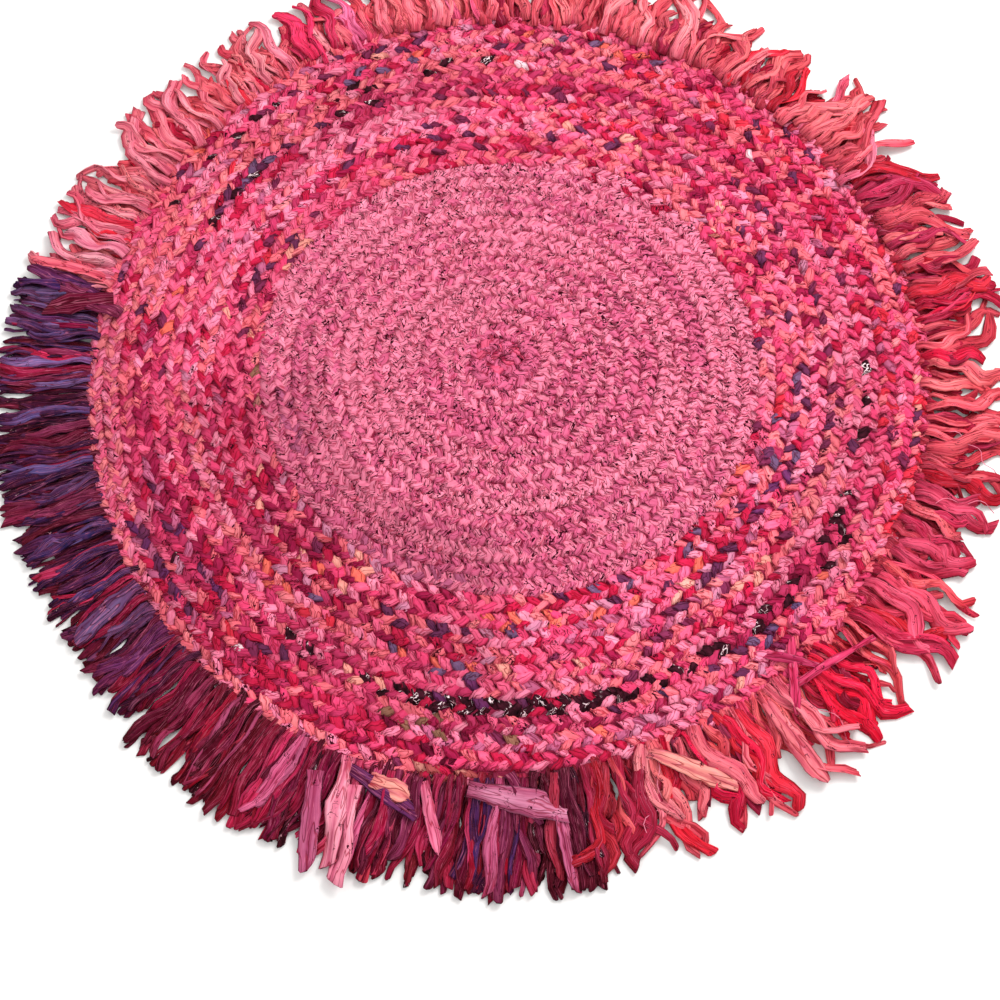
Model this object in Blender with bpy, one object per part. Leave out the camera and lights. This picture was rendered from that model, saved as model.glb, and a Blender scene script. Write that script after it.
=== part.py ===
"""Round braided rag rug with a fringe of cut cloth strips, lying flat on the floor.

The underside is at z = 0 and the rug's middle is at the origin. One flat braid of
rags, sewn edge to edge, winds counter-clockwise from the middle to the rim. Its inner
turns are pale rose (centre_coil) and its outer turns are mixed colours (border_coil).
Each run of fringe is a row of cloth strips that stand apart, with their roots fused
into a narrow heading just outside the rim. Every length is in metres.
"""

import math
import random

import bmesh
import bpy
from mathutils import Vector

# The coil, from the middle to the rim.
CENTRE_RADIUS = 0.336       # where the pale rose braid stops, on its inner edge
RIM_RADIUS = 0.611          # outer edge of the last row
CENTRE_TURNS = 14.5
BORDER_TURNS = 32 / 3
BRAID_THICKNESS = 0.012     # at the crest of a row
VALLEY_THICKNESS = 0.0075   # between two rows, where they are sewn
GAP = 0.0003                # between pieces that touch
STEPS_A_TURN = 48

# The loose end of the braid narrows until it dies into the rim.
LOOSE_END_TURNS = 1 / 12
LOOSE_END_WIDTH = 0.12      # share of the full width at its very end

# The cross-section of a row: share of its width, and share of its rise to the crest.
ROW_SECTION = (
    (0.00, 0.0),
    (0.24, 1.0),
    (0.76, 1.0),
    (1.00, 0.0),
)

# The rows were wound by hand, so they drift from true circles. Each line gives a ring
# and a number of waves a turn, with the shift outwards at +X and at a quarter wave on.
DRIFT = (
    # ring, waves, cosine shift, sine shift
    ("centre", 1, -0.0048, 0.0107),
    ("centre", 2, 0.0025, -0.0051),
    ("rim", 1, 0.0028, 0.0049),
    ("rim", 2, -0.0037, -0.0041),
    ("rim", 3, 0.0032, -0.0019),
)
KNOT_OFFSET = Vector((-0.010, 0.023))   # of the first knot from the rug's middle

# The fringe. Angles are in degrees, counter-clockwise from +X.
HEADING_WIDTH = 0.006
HEADING_THICKNESS = 0.007
STRIP_PITCH = 1.5           # degrees from one cloth strip to the next
STRIP_ROOT = 1.15           # degrees that a strip's root takes
SEED = 11
FRINGE = (
    # name, start, end, clumps, radius at the tips, colour
    ("fringe_scarlet", -82.5, -60.0, 1, 0.735, (0.62, 0.05, 0.09)),
    ("fringe_cherry", -60.0, -45.0, 1, 0.738, (0.66, 0.06, 0.13)),
    ("fringe_ruby", -45.0, -30.0, 1, 0.728, (0.55, 0.04, 0.08)),
    ("fringe_tan", -30.0, 0.0, 2, 0.708, (0.60, 0.10, 0.12)),
    ("fringe_crimson", 0.0, 60.0, 4, 0.713, (0.66, 0.09, 0.12)),
    ("fringe_coral", 60.0, 120.0, 4, 0.717, (0.78, 0.20, 0.18)),
    ("fringe_salmon", 120.0, 165.0, 3, 0.722, (0.80, 0.22, 0.20)),
    ("fringe_navy", 165.0, 210.0, 3, 0.724, (0.10, 0.09, 0.22)),
    ("fringe_lilac", 210.0, 225.0, 1, 0.715, (0.36, 0.20, 0.42)),
    ("fringe_burgundy", 225.0, 262.5, 3, 0.745, (0.32, 0.03, 0.09)),
    ("fringe_plum", 262.5, 277.5, 1, 0.752, (0.24, 0.05, 0.14)),
)

# One cloth strip of the fringe, from just past its root to its tip.
STRIP_STATIONS = (
    # share of the length, width, thickness
    (0.30, 0.0130, 0.0060),
    (0.66, 0.0118, 0.0048),
    (1.00, 0.0080, 0.0030),
)
GATHER = 0.24               # how far the tips draw in towards their clump's middle
CLUMP_LEAN = 0.9            # largest lean of a whole clump, in degrees at its tips
CLUMP_BOW = 0.004           # largest sideways bow of a whole clump
STRIP_BOW = 0.0008          # largest bow of one strip beside its clump's own
UNEVEN_LENGTH = 0.014       # largest shortfall of a strip's tip

TURN = 2 * math.pi
ALL_TURNS = CENTRE_TURNS + BORDER_TURNS
CENTRE_PITCH = CENTRE_RADIUS / CENTRE_TURNS
BORDER_PITCH = (RIM_RADIUS - CENTRE_RADIUS) / (BORDER_TURNS + 1)
SEAM_ANGLE = math.radians(45)                   # where the braid changes colour
START_ANGLE = SEAM_ANGLE - CENTRE_TURNS * TURN
END_ANGLE = START_ANGLE + ALL_TURNS * TURN
STEP = TURN / STEPS_A_TURN


def unit(angle):
    """Direction in the rug's plane."""
    return Vector((math.cos(angle), math.sin(angle)))


def drift(ring, angle):
    """Shift outwards of one ring of the coil at an angle."""
    shift = 0.0
    for name, waves, cosine, sine in DRIFT:
        if name == ring:
            shift += cosine * math.cos(waves * angle) + sine * math.sin(waves * angle)
    return shift


def place(radius, angle):
    """Plan position of a point that lies at this radius in the undisturbed coil."""
    if radius < CENTRE_RADIUS:
        share = radius / CENTRE_RADIUS
        knot_pull = KNOT_OFFSET * (1 - share)
        return unit(angle) * (radius + drift("centre", angle) * share) + knot_pull
    share = (radius - CENTRE_RADIUS) / (RIM_RADIUS - CENTRE_RADIUS)
    shift = drift("centre", angle) * (1 - share) + drift("rim", angle) * share
    return unit(angle) * (radius + shift)


def edge_radius(turn):
    """Radius of the spiral edge between rows after so many turns from the middle."""
    in_centre = min(turn, CENTRE_TURNS) * CENTRE_PITCH
    in_border = max(turn - CENTRE_TURNS, 0) * BORDER_PITCH
    return in_centre + in_border


def width_kept(turn):
    """Share of its full width that the braid has at this turn."""
    to_end = (ALL_TURNS - turn) / LOOSE_END_TURNS
    return min(1.0, LOOSE_END_WIDTH + (1 - LOOSE_END_WIDTH) * to_end)


def row_point(turn, station):
    """Point on the row's top that starts at this turn, at one station of its section."""
    across, rise = ROW_SECTION[station]
    kept = width_kept(turn)
    inner = edge_radius(turn)
    radius = inner + (edge_radius(turn + 1) - inner) * across * kept
    height = VALLEY_THICKNESS + (BRAID_THICKNESS - VALLEY_THICKNESS) * rise * kept
    return place(radius, START_ANGLE + turn * TURN).to_3d() + Vector((0, 0, height))


def rim_point(angle, beyond):
    """Plan position just outside the rug's rim."""
    past_end = ((angle - END_ANGLE) / TURN) % 1
    turn = ALL_TURNS - 1 + past_end
    inner = edge_radius(turn)
    radius = inner + (edge_radius(turn + 1) - inner) * width_kept(turn)
    return place(radius, angle) + unit(angle) * beyond


def new_piece(name, bm, colour, collection):
    """Object with a bmesh's shape and a cloth material of its own."""
    bmesh.ops.recalc_face_normals(bm, faces=bm.faces)
    mesh = bpy.data.meshes.new(name)
    bm.to_mesh(mesh)
    bm.free()
    mesh.shade_smooth()
    mesh.set_sharp_from_angle(angle=math.radians(50))
    material = bpy.data.materials.new(name)
    material.use_nodes = True
    shader = material.node_tree.nodes["Principled BSDF"]
    shader.inputs["Base Color"].default_value = (*colour, 1)
    shader.inputs["Roughness"].default_value = 0.9
    shader.inputs["Metallic"].default_value = 0.0
    mesh.materials.append(material)
    collection.objects.link(bpy.data.objects.new(name, mesh))


def ribbed_sheet(first_turn, last_turn):
    """Open top of a coil: a strip with the row's section, wound edge to edge."""
    steps = round((last_turn - first_turn) * STEPS_A_TURN)
    stations = len(ROW_SECTION) - 1
    bm = bmesh.new()
    bmesh.ops.create_grid(bm, x_segments=steps, y_segments=stations, size=0.5)
    for vert in bm.verts:
        turn = first_turn + round((vert.co.x + 0.5) * steps) / STEPS_A_TURN
        station = round((vert.co.y + 0.5) * stations)
        vert.co = row_point(turn, station)
    bmesh.ops.remove_doubles(bm, verts=bm.verts, dist=GAP / 10)
    return bm


def boundary(bm):
    """Edges of a sheet that have only one face."""
    return [edge for edge in bm.edges if edge.is_boundary]


def drop_walls(bm):
    """Extrude the sheet's open edges down to the floor, and return the foot edges."""
    walls = bmesh.ops.extrude_edge_only(bm, edges=boundary(bm))["geom"]
    for vert in [item for item in walls if isinstance(item, bmesh.types.BMVert)]:
        vert.co.z = 0
    return boundary(bm)


def centre_coil(collection):
    """Pale rose inner turns round a domed knot, closed by a flat underside."""
    bm = ribbed_sheet(1, CENTRE_TURNS)
    knot_reach = edge_radius(2.5)
    near_knot = [
        edge for edge in boundary(bm)
        if all((vert.co.xy - KNOT_OFFSET).length < knot_reach for vert in edge.verts)
    ]
    knot = bmesh.ops.contextual_create(bm, geom=near_knot)["faces"]
    top = bmesh.ops.poke(bm, faces=knot)["verts"][0]
    top.co.z = BRAID_THICKNESS
    foot = drop_walls(bm)
    bmesh.ops.contextual_create(bm, geom=foot)
    # Turned and drawn in by the gap, so that it clears the border's first row.
    for vert in bm.verts:
        turned = vert.co.xy - Vector((-vert.co.y, vert.co.x)) * GAP / CENTRE_RADIUS
        vert.co.xy = turned * (1 - GAP / CENTRE_RADIUS)
    new_piece("centre_coil", bm, (0.78, 0.20, 0.28), collection)


def border_coil(collection):
    """Mixed-colour outer turns, with a flat underside round the inner coil."""
    bm = ribbed_sheet(CENTRE_TURNS, ALL_TURNS)
    foot = drop_walls(bm)
    bmesh.ops.triangle_fill(bm, use_beauty=True, edges=foot)
    new_piece("border_coil", bm, (0.70, 0.10, 0.18), collection)


def heading_outline(start, end):
    """Plan of a heading: its edge along the rim, then its outer edge back again."""
    rim_steps = round(math.radians(end - start) / STEP)
    rim_side = []
    for index in range(rim_steps + 1):
        angle = math.radians(start) + index * STEP
        # Both sides of the braid's blunt end are tried, and the outer one is kept.
        tries = [rim_point(angle + side * 1e-6, GAP) for side in (-1, 1)]
        rim_side.append(max(tries, key=lambda point: point.length))
    outer_side = []
    strips = round((end - start) / STRIP_PITCH)
    half_gap = (STRIP_PITCH - STRIP_ROOT) / 2
    angles = [start]
    for index in range(strips):
        angles.append(start + index * STRIP_PITCH + half_gap)
        angles.append(start + (index + 1) * STRIP_PITCH - half_gap)
    angles.append(end)
    trim = math.degrees(GAP / RIM_RADIUS)
    angles[0] += trim
    angles[-1] -= trim
    rim_side[0] = rim_side[0] + unit(math.radians(start + 90)) * GAP
    rim_side[-1] = rim_side[-1] - unit(math.radians(end + 90)) * GAP
    for angle in angles:
        outer_side.append(rim_point(math.radians(angle), GAP + HEADING_WIDTH))
    return rim_side, outer_side


def clump_habits(start, end, clumps, rng):
    """Middle, lean and bow of each clump in a run of fringe."""
    size = (end - start) / clumps
    return [
        (
            start + (index + 0.5) * size,
            rng.uniform(-CLUMP_LEAN, CLUMP_LEAN),
            rng.uniform(-CLUMP_BOW, CLUMP_BOW),
        )
        for index in range(clumps)
    ]


def draw_strip(bm, root, angle, aim, tip_radius, bow):
    """Pull one cloth strip out of a root face of the heading, level on the floor."""
    start = rim_point(math.radians(angle), GAP + HEADING_WIDTH)
    tip = unit(math.radians(aim)) * tip_radius
    along = (tip - start).normalized()
    sideways = Vector((-along.y, along.x))
    face = root
    for share, width, thickness in STRIP_STATIONS:
        middle = start.lerp(tip, share) + sideways * bow * math.sin(math.pi * share)
        before = face.calc_center_median().xy
        face = bmesh.ops.extrude_discrete_faces(bm, faces=[face])["faces"][0]
        for vert in face.verts:
            side = math.copysign(width / 2, (vert.co.xy - before).dot(sideways))
            height = thickness if vert.co.z > 0 else 0.0
            vert.co = (middle + sideways * side).to_3d() + Vector((0, 0, height))


def fringe(name, start, end, clumps, tip_radius, colour, rng, collection):
    """One run of fringe: a heading and its cloth strips."""
    rim_side, outer_side = heading_outline(start, end)
    bm = bmesh.new()
    corners = [bm.verts.new(point.to_3d()) for point in rim_side[::-1] + outer_side]
    sides = [bm.edges.new(pair) for pair in zip(corners, corners[1:] + corners[:1])]
    floor_face = bmesh.ops.contextual_create(bm, geom=sides)["faces"]
    raised = bmesh.ops.extrude_face_region(bm, geom=floor_face, use_keep_orig=True)["geom"]
    for vert in [item for item in raised if isinstance(item, bmesh.types.BMVert)]:
        vert.co.z = HEADING_THICKNESS
    # Each root is the wall between the two outer corners that a strip takes up.
    first_root = len(rim_side) + 1
    strips = round((end - start) / STRIP_PITCH)
    roots = []
    for index in range(strips):
        left = corners[first_root + 2 * index]
        right = corners[first_root + 2 * index + 1]
        edge = bm.edges.get((left, right))
        roots.append(next(face for face in edge.link_faces if len(face.verts) == 4))
    habits = clump_habits(start, end, clumps, rng)
    for index, root in enumerate(roots):
        angle = start + (index + 0.5) * STRIP_PITCH
        middle, lean, clump_bow = habits[index * clumps // strips]
        aim = angle + (middle - angle) * GATHER + lean
        bow = clump_bow + rng.uniform(-STRIP_BOW, STRIP_BOW)
        length = tip_radius - rng.uniform(0, UNEVEN_LENGTH)
        draw_strip(bm, root, angle, aim, length, bow)
    new_piece(name, bm, colour, collection)


def main():
    """Clear the scene and build the rug."""
    for old in list(bpy.data.objects):
        bpy.data.objects.remove(old, do_unlink=True)
    collection = bpy.data.collections.new("braided_rug")
    bpy.context.scene.collection.children.link(collection)
    rng = random.Random(SEED)
    centre_coil(collection)
    border_coil(collection)
    for name, start, end, clumps, tip_radius, colour in FRINGE:
        fringe(name, start, end, clumps, tip_radius, colour, rng, collection)


main()
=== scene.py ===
"""Looks of a round braided rag rug: its coiled braid, its cloth fringe, their dyes and the light.

One flat braid of three rag strands winds counter-clockwise from a knot in the middle to
the rim. Its inner turns are pale rose with a small dark print, and its outer turns are
mixed rags. Cut cloth strips stand out round the rim. Every length is in metres.
"""

import math
import random
from types import SimpleNamespace

import bmesh
import bpy
import numpy as np
from mathutils import Color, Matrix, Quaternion, Vector


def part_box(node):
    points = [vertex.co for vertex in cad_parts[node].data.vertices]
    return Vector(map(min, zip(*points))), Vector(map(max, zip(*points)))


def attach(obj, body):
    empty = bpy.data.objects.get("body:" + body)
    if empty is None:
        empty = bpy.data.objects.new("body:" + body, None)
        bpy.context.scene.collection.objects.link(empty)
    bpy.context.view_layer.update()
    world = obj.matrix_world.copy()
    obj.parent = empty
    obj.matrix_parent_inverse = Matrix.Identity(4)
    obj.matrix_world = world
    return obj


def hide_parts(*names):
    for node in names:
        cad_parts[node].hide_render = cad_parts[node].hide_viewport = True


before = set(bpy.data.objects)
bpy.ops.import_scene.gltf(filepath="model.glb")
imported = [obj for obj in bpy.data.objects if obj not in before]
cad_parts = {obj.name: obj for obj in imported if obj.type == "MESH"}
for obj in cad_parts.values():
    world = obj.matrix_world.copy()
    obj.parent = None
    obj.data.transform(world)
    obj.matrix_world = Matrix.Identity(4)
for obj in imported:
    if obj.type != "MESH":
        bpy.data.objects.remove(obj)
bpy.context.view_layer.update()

TURN = 2 * math.pi

# The coil, as the solids have it.
CENTRE_RADIUS = 0.336
RIM_RADIUS = 0.611
CENTRE_TURNS = 14.5
BORDER_TURNS = 32 / 3
ALL_TURNS = CENTRE_TURNS + BORDER_TURNS
CENTRE_PITCH = CENTRE_RADIUS / CENTRE_TURNS
BORDER_PITCH = (RIM_RADIUS - CENTRE_RADIUS) / (BORDER_TURNS + 1)
SEAM_ANGLE = math.radians(45)
START_ANGLE = SEAM_ANGLE - CENTRE_TURNS * TURN
END_ANGLE = START_ANGLE + ALL_TURNS * TURN
LOOSE_END_TURNS = 1 / 12
LOOSE_END_WIDTH = 0.12
BRAID_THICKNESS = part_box("border_coil")[1].z
DRIFT = (
    # ring, waves, cosine shift, sine shift
    ("centre", 1, -0.0048, 0.0107),
    ("centre", 2, 0.0025, -0.0051),
    ("rim", 1, 0.0028, 0.0049),
    ("rim", 2, -0.0037, -0.0041),
    ("rim", 3, 0.0032, -0.0019),
)
KNOT_OFFSET = (-0.010, 0.023)
KNOT_RADIUS = 0.024         # within it, strands lean ahead no more than here

# One strand of the braid. A lobe is the stretch that shows on top before it dives again.
STRANDS = 3
CENTRE_LOBE = 0.0190        # along the braid, from one lobe of a strand to its next
BORDER_LOBE = 0.0248
LOBE_WAVES = ((0.43, 0.10), (0.171, 0.12), (1.9, 0.06))   # length, share by which lobes vary
SECTIONS_A_LOBE = 6
RING_SIDES = 8
CORNERS = (np.arange(RING_SIDES) + 0.5) * TURN / RING_SIDES
RING_SQUARENESS = 0.75
PLEAT_SIZE = 0.16           # of a strand's thickness
HALF_ROW = 0.01175          # half the width that the strand's sizes are for
SWAY = 0.0095               # how far a strand swings to each side
SHARP_TURN = 1.1            # how soon it turns back at the edge
RISE = (0.0014, 0.0022)     # how far it climbs and dives, in the centre and in the border
SHARP_DIVE = 1.6            # how soon it dives
LATE_DIVE = 0.02 * math.pi  # how far past the middle it stays on top
STRAND_HALF_WIDTH = 0.0076
STRAND_HALF_THICKNESS = 0.0028
BRAID_START = -0.45         # turns from the middle at which the braid starts, tucked in
FLOOR_CLEARANCE = 0.0003
FIRST_SEED = 5

# Dyes, as sRGB hex.
DYES = {
    "blush": "FA94B0",
    "rose": "F486A6",
    "pink": "EE648A",
    "hot_pink": "E04472",
    "raspberry": "BC3460",
    "crimson": "BE1C44",
    "scarlet": "D83044",
    "coral": "F07280",
    "salmon": "F4848C",
    "peach": "F6A496",
    "orange": "EE6E5E",
    "tan": "C07E74",
    "olive": "8C6650",
    "maroon": "961642",
    "burgundy": "640A2C",
    "plum": "762A4E",
    "purple": "622E60",
    "violet": "64507A",
    "lavender": "CC84A2",
    "mauve": "C0648A",
    "slate": "6E567A",
    "navy": "5E2C50",
    "black": "1C060E",
    "indigo": "3A245C",
    "ink_blue": "2C2656",
    "blue_violet": "545288",
    "blue_grey": "5C5A86",
    "aubergine": "4A2A5A",
    "wine": "6C0836",
    "white": "F8DEE4",
    "pale_rose": "F28AA8",
    "dusty_rose": "DE6A92",
    "shell": "FFA6BA",
    "rust": "AC5452",
}


def linear(name):
    """A dye's colour as the renderer counts it."""
    code = DYES[name]
    channels = [int(code[at:at + 2], 16) / 255 for at in (0, 2, 4)]
    return np.array(Color(channels).from_srgb_to_scene_linear())


# Rag mixes: each dye with its share.
MIXES = {
    "centre": "pale_rose 10 rose 4 dusty_rose 5 blush 1",
    "centre_left": "dusty_rose 5 rose 3 mauve 3 pale_rose 3",
    "knot": "dusty_rose 7 mauve 2 pale_rose 2 pink 1",
    "light": "pink 8 rose 6 coral 5 hot_pink 4 salmon 1.5",
    "pinks": "pink 8 rose 4 hot_pink 5 coral 3 raspberry 3 crimson 2 maroon 0.6",
    "warm": "coral 7 pink 6 hot_pink 4 scarlet 1.5 rose 3 salmon 2 crimson 1",
    "pale": "rose 7 pink 6 coral 3 salmon 2 blush 1 hot_pink 1",
    "mosaic": "pink 9 rose 6 blush 1.5 coral 4 hot_pink 5 crimson 3 peach 0.5 orange 0.5 "
              "salmon 2 slate 1 navy 1 plum 1 lavender 0.8 mauve 1 maroon 1",
    "deep": "hot_pink 4 raspberry 6 crimson 5 coral 3 pink 4 maroon 2 rose 2 mauve 1",
}
ACCENTS = ("maroon 2.5 plum 2 crimson 5 blush 5 peach 0.8 raspberry 4 "
           "mauve 2 lavender 1 navy 0.8 orange 0.4 white 0.2")
ACCENT_SHARE = 0.07
SPAN_HELD = (0.14, 0.62)    # how often a strand keeps its span's dye, outer and inner side
OTHER_RAG_SHARE = 0.25      # how often a lobe shows another rag of its mix
RAG_LOBES = (4, 16)         # how many lobes one rag lasts
MOSAIC_LOBES = (1, 4)
PRINTED_SHARE = (0.06, 0.85)        # how many rags are printed, in the border and in the centre
TONE_SPREAD = (0.88, 1.12)
KNOT_TURNS = 0.9
ROW_MIXES = ("light", "warm", "pinks", "pinks", "warm", "pinks", "pinks", "warm", "warm",
             "warm", "light")
# Where other mixes were used: rows from first to last, between these angles. Rows up to 0
# are the centre's last ones.
PATCHES = (
    (-2, 0, 172, 262, "centre_left"),
    (7, 11, 168, 275, "deep"),
    (1, 4, 176, 226, "deep"),
    (4, 5, 78, 178, "pale"),
    (1, 4, 222, 345, "mosaic"),
    (8, 9, 262, 322, "mosaic"),
    (9, 11, 45, 150, "mosaic"),
    (7, 7, 228, 260, "mosaic"),
)

# Broad areas lighter or darker than the rest, partly worn or soiled rags and partly painted light
# and shade: rows, angles, and the light kept there.
WORN_AND_SHADED_AREAS = (
    (-3, 0, 178, 268, 0.80),
    (1, 5, 180, 228, 0.84),
    (3, 8, 228, 268, 0.88),
    (9, 11, 170, 226, 0.86),
    (5, 8, 315, 359, 0.88),
    (5, 8, 92, 136, 0.88),
    (1, 5, 268, 314, 1.25),
    (2, 4, 314, 405, 1.14),
    (3, 5, 60, 178, 1.20),
    (6, 8, 136, 180, 1.16),
    (6, 8, 268, 315, 1.10),
    (9, 11, 228, 404, 1.10),
)

# The same for the fringe: the angle at which each area starts, and the light kept there.
WORN_AND_SHADED_FRINGE = (
    (0, 0.87), (15, 0.78), (30, 0.94), (45, 1.04), (60, 0.95), (75, 0.66),
    (90, 1.04), (105, 1.30), (120, 1.10), (135, 1.20), (150, 1.50), (165, 1.34),
    (180, 0.72), (195, 0.98), (210, 1.20), (225, 0.54), (239, 1.20), (255, 1.16),
    (270, 0.44), (285, 1.34), (300, 1.24), (315, 0.84), (330, 0.76), (345, 1.10),
)

# Rags that stand out in the border: row, counted outwards from the centre, start and end in
# degrees from +X, and the dyes of the three strands there. A strand marked - stays as it
# is, and a dye marked + is held all along the span.
SPANS = """
1 48 66 crimson - -
1 80 84 crimson - -
1 90 112 crimson - coral
1 112 122 mauve hot_pink -
1 138 176 peach - salmon
1 171 177 - olive -
1 -178 -164 coral tan -
1 -158 -115 lavender coral -
1 -130 -119 - - peach
1 -90 -81 peach - blush
1 -56 -48 coral - -
1 -30 -25 orange - -
1 2 30 - crimson -
1 38 44 orange lavender -
2 94 106 plum - -
2 106 113 navy - -
2 134 159 plum - navy
2 -176 -171 blush - -
2 174 205 - crimson maroon
3 174 200 raspberry - crimson
2 -152 -148 crimson - -
2 -144 -129 - plum -
2 -127 -112 orange - blush
2 -101 -71 orange - -
2 -84 -69 - lavender -
2 -58 -48 orange - -
2 -36 -16 navy - -
2 9 45 maroon - -
3 93 126 maroon - navy
3 141 152 plum - -
3 166 176 navy - -
3 -169 -164 white - -
3 -160 -114 maroon - peach
3 -112 -101 navy - -
3 -78 -73 - navy -
3 -68 -59 crimson - -
3 -59 -38 peach - navy
3 -38 -24 maroon purple -
3 -24 -1 navy - slate
3 6 40 navy - -
3 62 90 - navy -
4 58 77 navy - peach
4 92 104 navy - -
4 -139 -128 maroon - -
4 -120 -99 crimson - -
4 -81 -73 - crimson -
4 -65 -56 navy plum -
4 0 40 coral - rose
5 -145 -128 orange - scarlet
5 -116 -96 slate - orange
5 -96 -78 - - peach
5 -78 -54 plum - -
5 -51 -39 peach - crimson
5 -37 60 plum - -
5 -20 34 - navy -
6 -168 -162 maroon - -
6 -106 -97 navy purple -
6 -88 -81 violet - purple
6 60 71 navy - -
6 72 100 plum - -
6 107 114 navy - -
7 -172 -164 blush - -
7 -132 -108 black - peach
7 -108 -73 black+ black+ purple
7 -73 -56 black+ - black
7 -53 -40 black+ - -
7 -34 -20 black - black
7 -18 -1 black - -
7 3 9 crimson scarlet -
7 14 25 - plum -
7 26 39 hot_pink hot_pink -
7 38 45 white - -
8 74 78 white - -
7 90 103 black - -
7 108 148 black navy -
7 120 140 - - slate
7 150 176 navy orange -
8 -169 -162 navy - -
8 -156 -142 purple - navy
8 -140 -132 coral - -
8 -132 -121 navy - -
8 -121 -117 orange - -
8 -112 -90 coral olive -
8 -100 -95 - - navy
8 -82 -42 navy coral violet
8 -38 -29 black - -
8 -8 15 mauve - -
8 22 40 navy - -
8 44 74 - navy -
8 90 115 black - -
8 116 120 olive - -
9 -152 -140 black - -
9 -139 -129 coral scarlet -
9 -112 -90 olive burgundy -
9 -76 -70 lavender - -
9 -58 -54 scarlet - -
9 20 24 olive - -
9 40 92 - scarlet -
10 -183 -170 crimson+ raspberry -
10 -173 -161 blush - black
10 -158 -142 purple navy -
10 -126 -90 maroon - burgundy
10 -85 -80 navy - -
10 -22 -17 blush - -
10 -14 1 peach navy -
10 8 14 navy - -
10 34 60 crimson navy -
10 70 88 - slate -
10 96 107 navy purple -
10 120 148 black - maroon
10 165 200 salmon+ rose+ pink+
11 165 212 rose+ salmon+ pink+
11 -148 -101 salmon coral+ rose+
11 -106 -92 rust+ tan+ coral
11 -92 -75 rust+ mauve rust+
"""
ROW_START_DEG = 45          # where each row of the border starts its turn

# The fringe: runs of one colour family, with the clumps and reach that the solids have.
# Each clump is made of bunches, which sway to one side. Their strips pinch together towards
# the tips, or fan out, and wander a little. These are in degrees. The roots lie over the rim.
FRINGE_FIELDS = ("name", "start", "end", "clumps", "reach_to", "bunches", "sway", "wander",
                 "pinch", "over", "width", "tone", "dyes")
FRINGE = (
    ("scarlet", -82.5, -60.0, 1, 0.738, 4, 12, 9, -10, 0.012, 0.0155, 1.48,
     "coral 9 hot_pink 3 raspberry 2 crimson 2 scarlet 3 plum 2 salmon 3 maroon 3"),
    ("cherry", -60.0, -45.0, 1, 0.742, 2, 12, 10, -10, 0.014, 0.016, 1.30,
     "coral 9 scarlet 2 crimson 2 raspberry 2 hot_pink 4 salmon 2 maroon 3"),
    ("ruby", -45.0, -30.0, 1, 0.732, 2, 13, 10, -8, 0.014, 0.016, 1.12,
     "hot_pink 3 raspberry 2 coral 7 pink 3 crimson 2 scarlet 2 maroon 1 salmon 1"),
    ("tan", -30.0, 0.0, 2, 0.712, 2, 16, 14, 6, 0.014, 0.0165, 0.88,
     "coral 7 hot_pink 2 pink 3 salmon 2 crimson 2 scarlet 1 raspberry 1"),
    ("crimson", 0.0, 60.0, 4, 0.718, 2, 15, 17, 6, 0.020, 0.0160, 0.95,
     "coral 8 dusty_rose 2 salmon 4 raspberry 3 pink 2 scarlet 1 maroon 1 crimson 1"),
    ("coral", 60.0, 120.0, 4, 0.722, 2, 12, 15, 6, 0.020, 0.0160, 1.24,
     "coral 10 salmon 6 pink 2 dusty_rose 1 raspberry 1"),
    ("salmon", 120.0, 165.0, 3, 0.726, 3, 11, 14, 6, 0.018, 0.0155, 1.72,
     "coral 11 salmon 7 scarlet 1 crimson 1"),
    ("navy", 165.0, 210.0, 3, 0.734, 4, 2, 4, 0, 0.006, 0.0120, 0.88,
     "ink_blue 6 blue_violet 8 blue_grey 4 plum 3 wine 2 aubergine 3 raspberry 2 maroon 1"),
    ("lilac", 210.0, 225.0, 1, 0.724, 3, 3, 5, 1, 0.006, 0.0125, 0.66,
     "purple 5 violet 4 plum 4 wine 4 indigo 4 maroon 3 raspberry 1"),
    ("burgundy", 225.0, 262.5, 3, 0.750, 3, 6, 9, 3, 0.010, 0.0125, 0.80,
     "wine 6 maroon 4 raspberry 2 crimson 2 plum 4 mauve 3 rust 1 coral 3 pink 3 black 3"),
    ("plum", 262.5, 277.5, 1, 0.756, 3, 6, 10, 3, 0.010, 0.0130, 0.68,
     "wine 6 maroon 3 raspberry 2 crimson 1 plum 4 mauve 3 rust 1 coral 2 indigo 2 pink 2 black 2"),
)
# Clumps in other dyes than the rest of their run: angles and dyes.
OTHER_DYES = (
    (0, 15, "coral 6 hot_pink 3 raspberry 3 crimson 4 scarlet 3 salmon 1"),
    (30, 60, "coral 6 salmon 8 rose 1 scarlet 1 crimson 1"),
    (75, 90, "coral 8 salmon 3 hot_pink 2 raspberry 2"),
)
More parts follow.
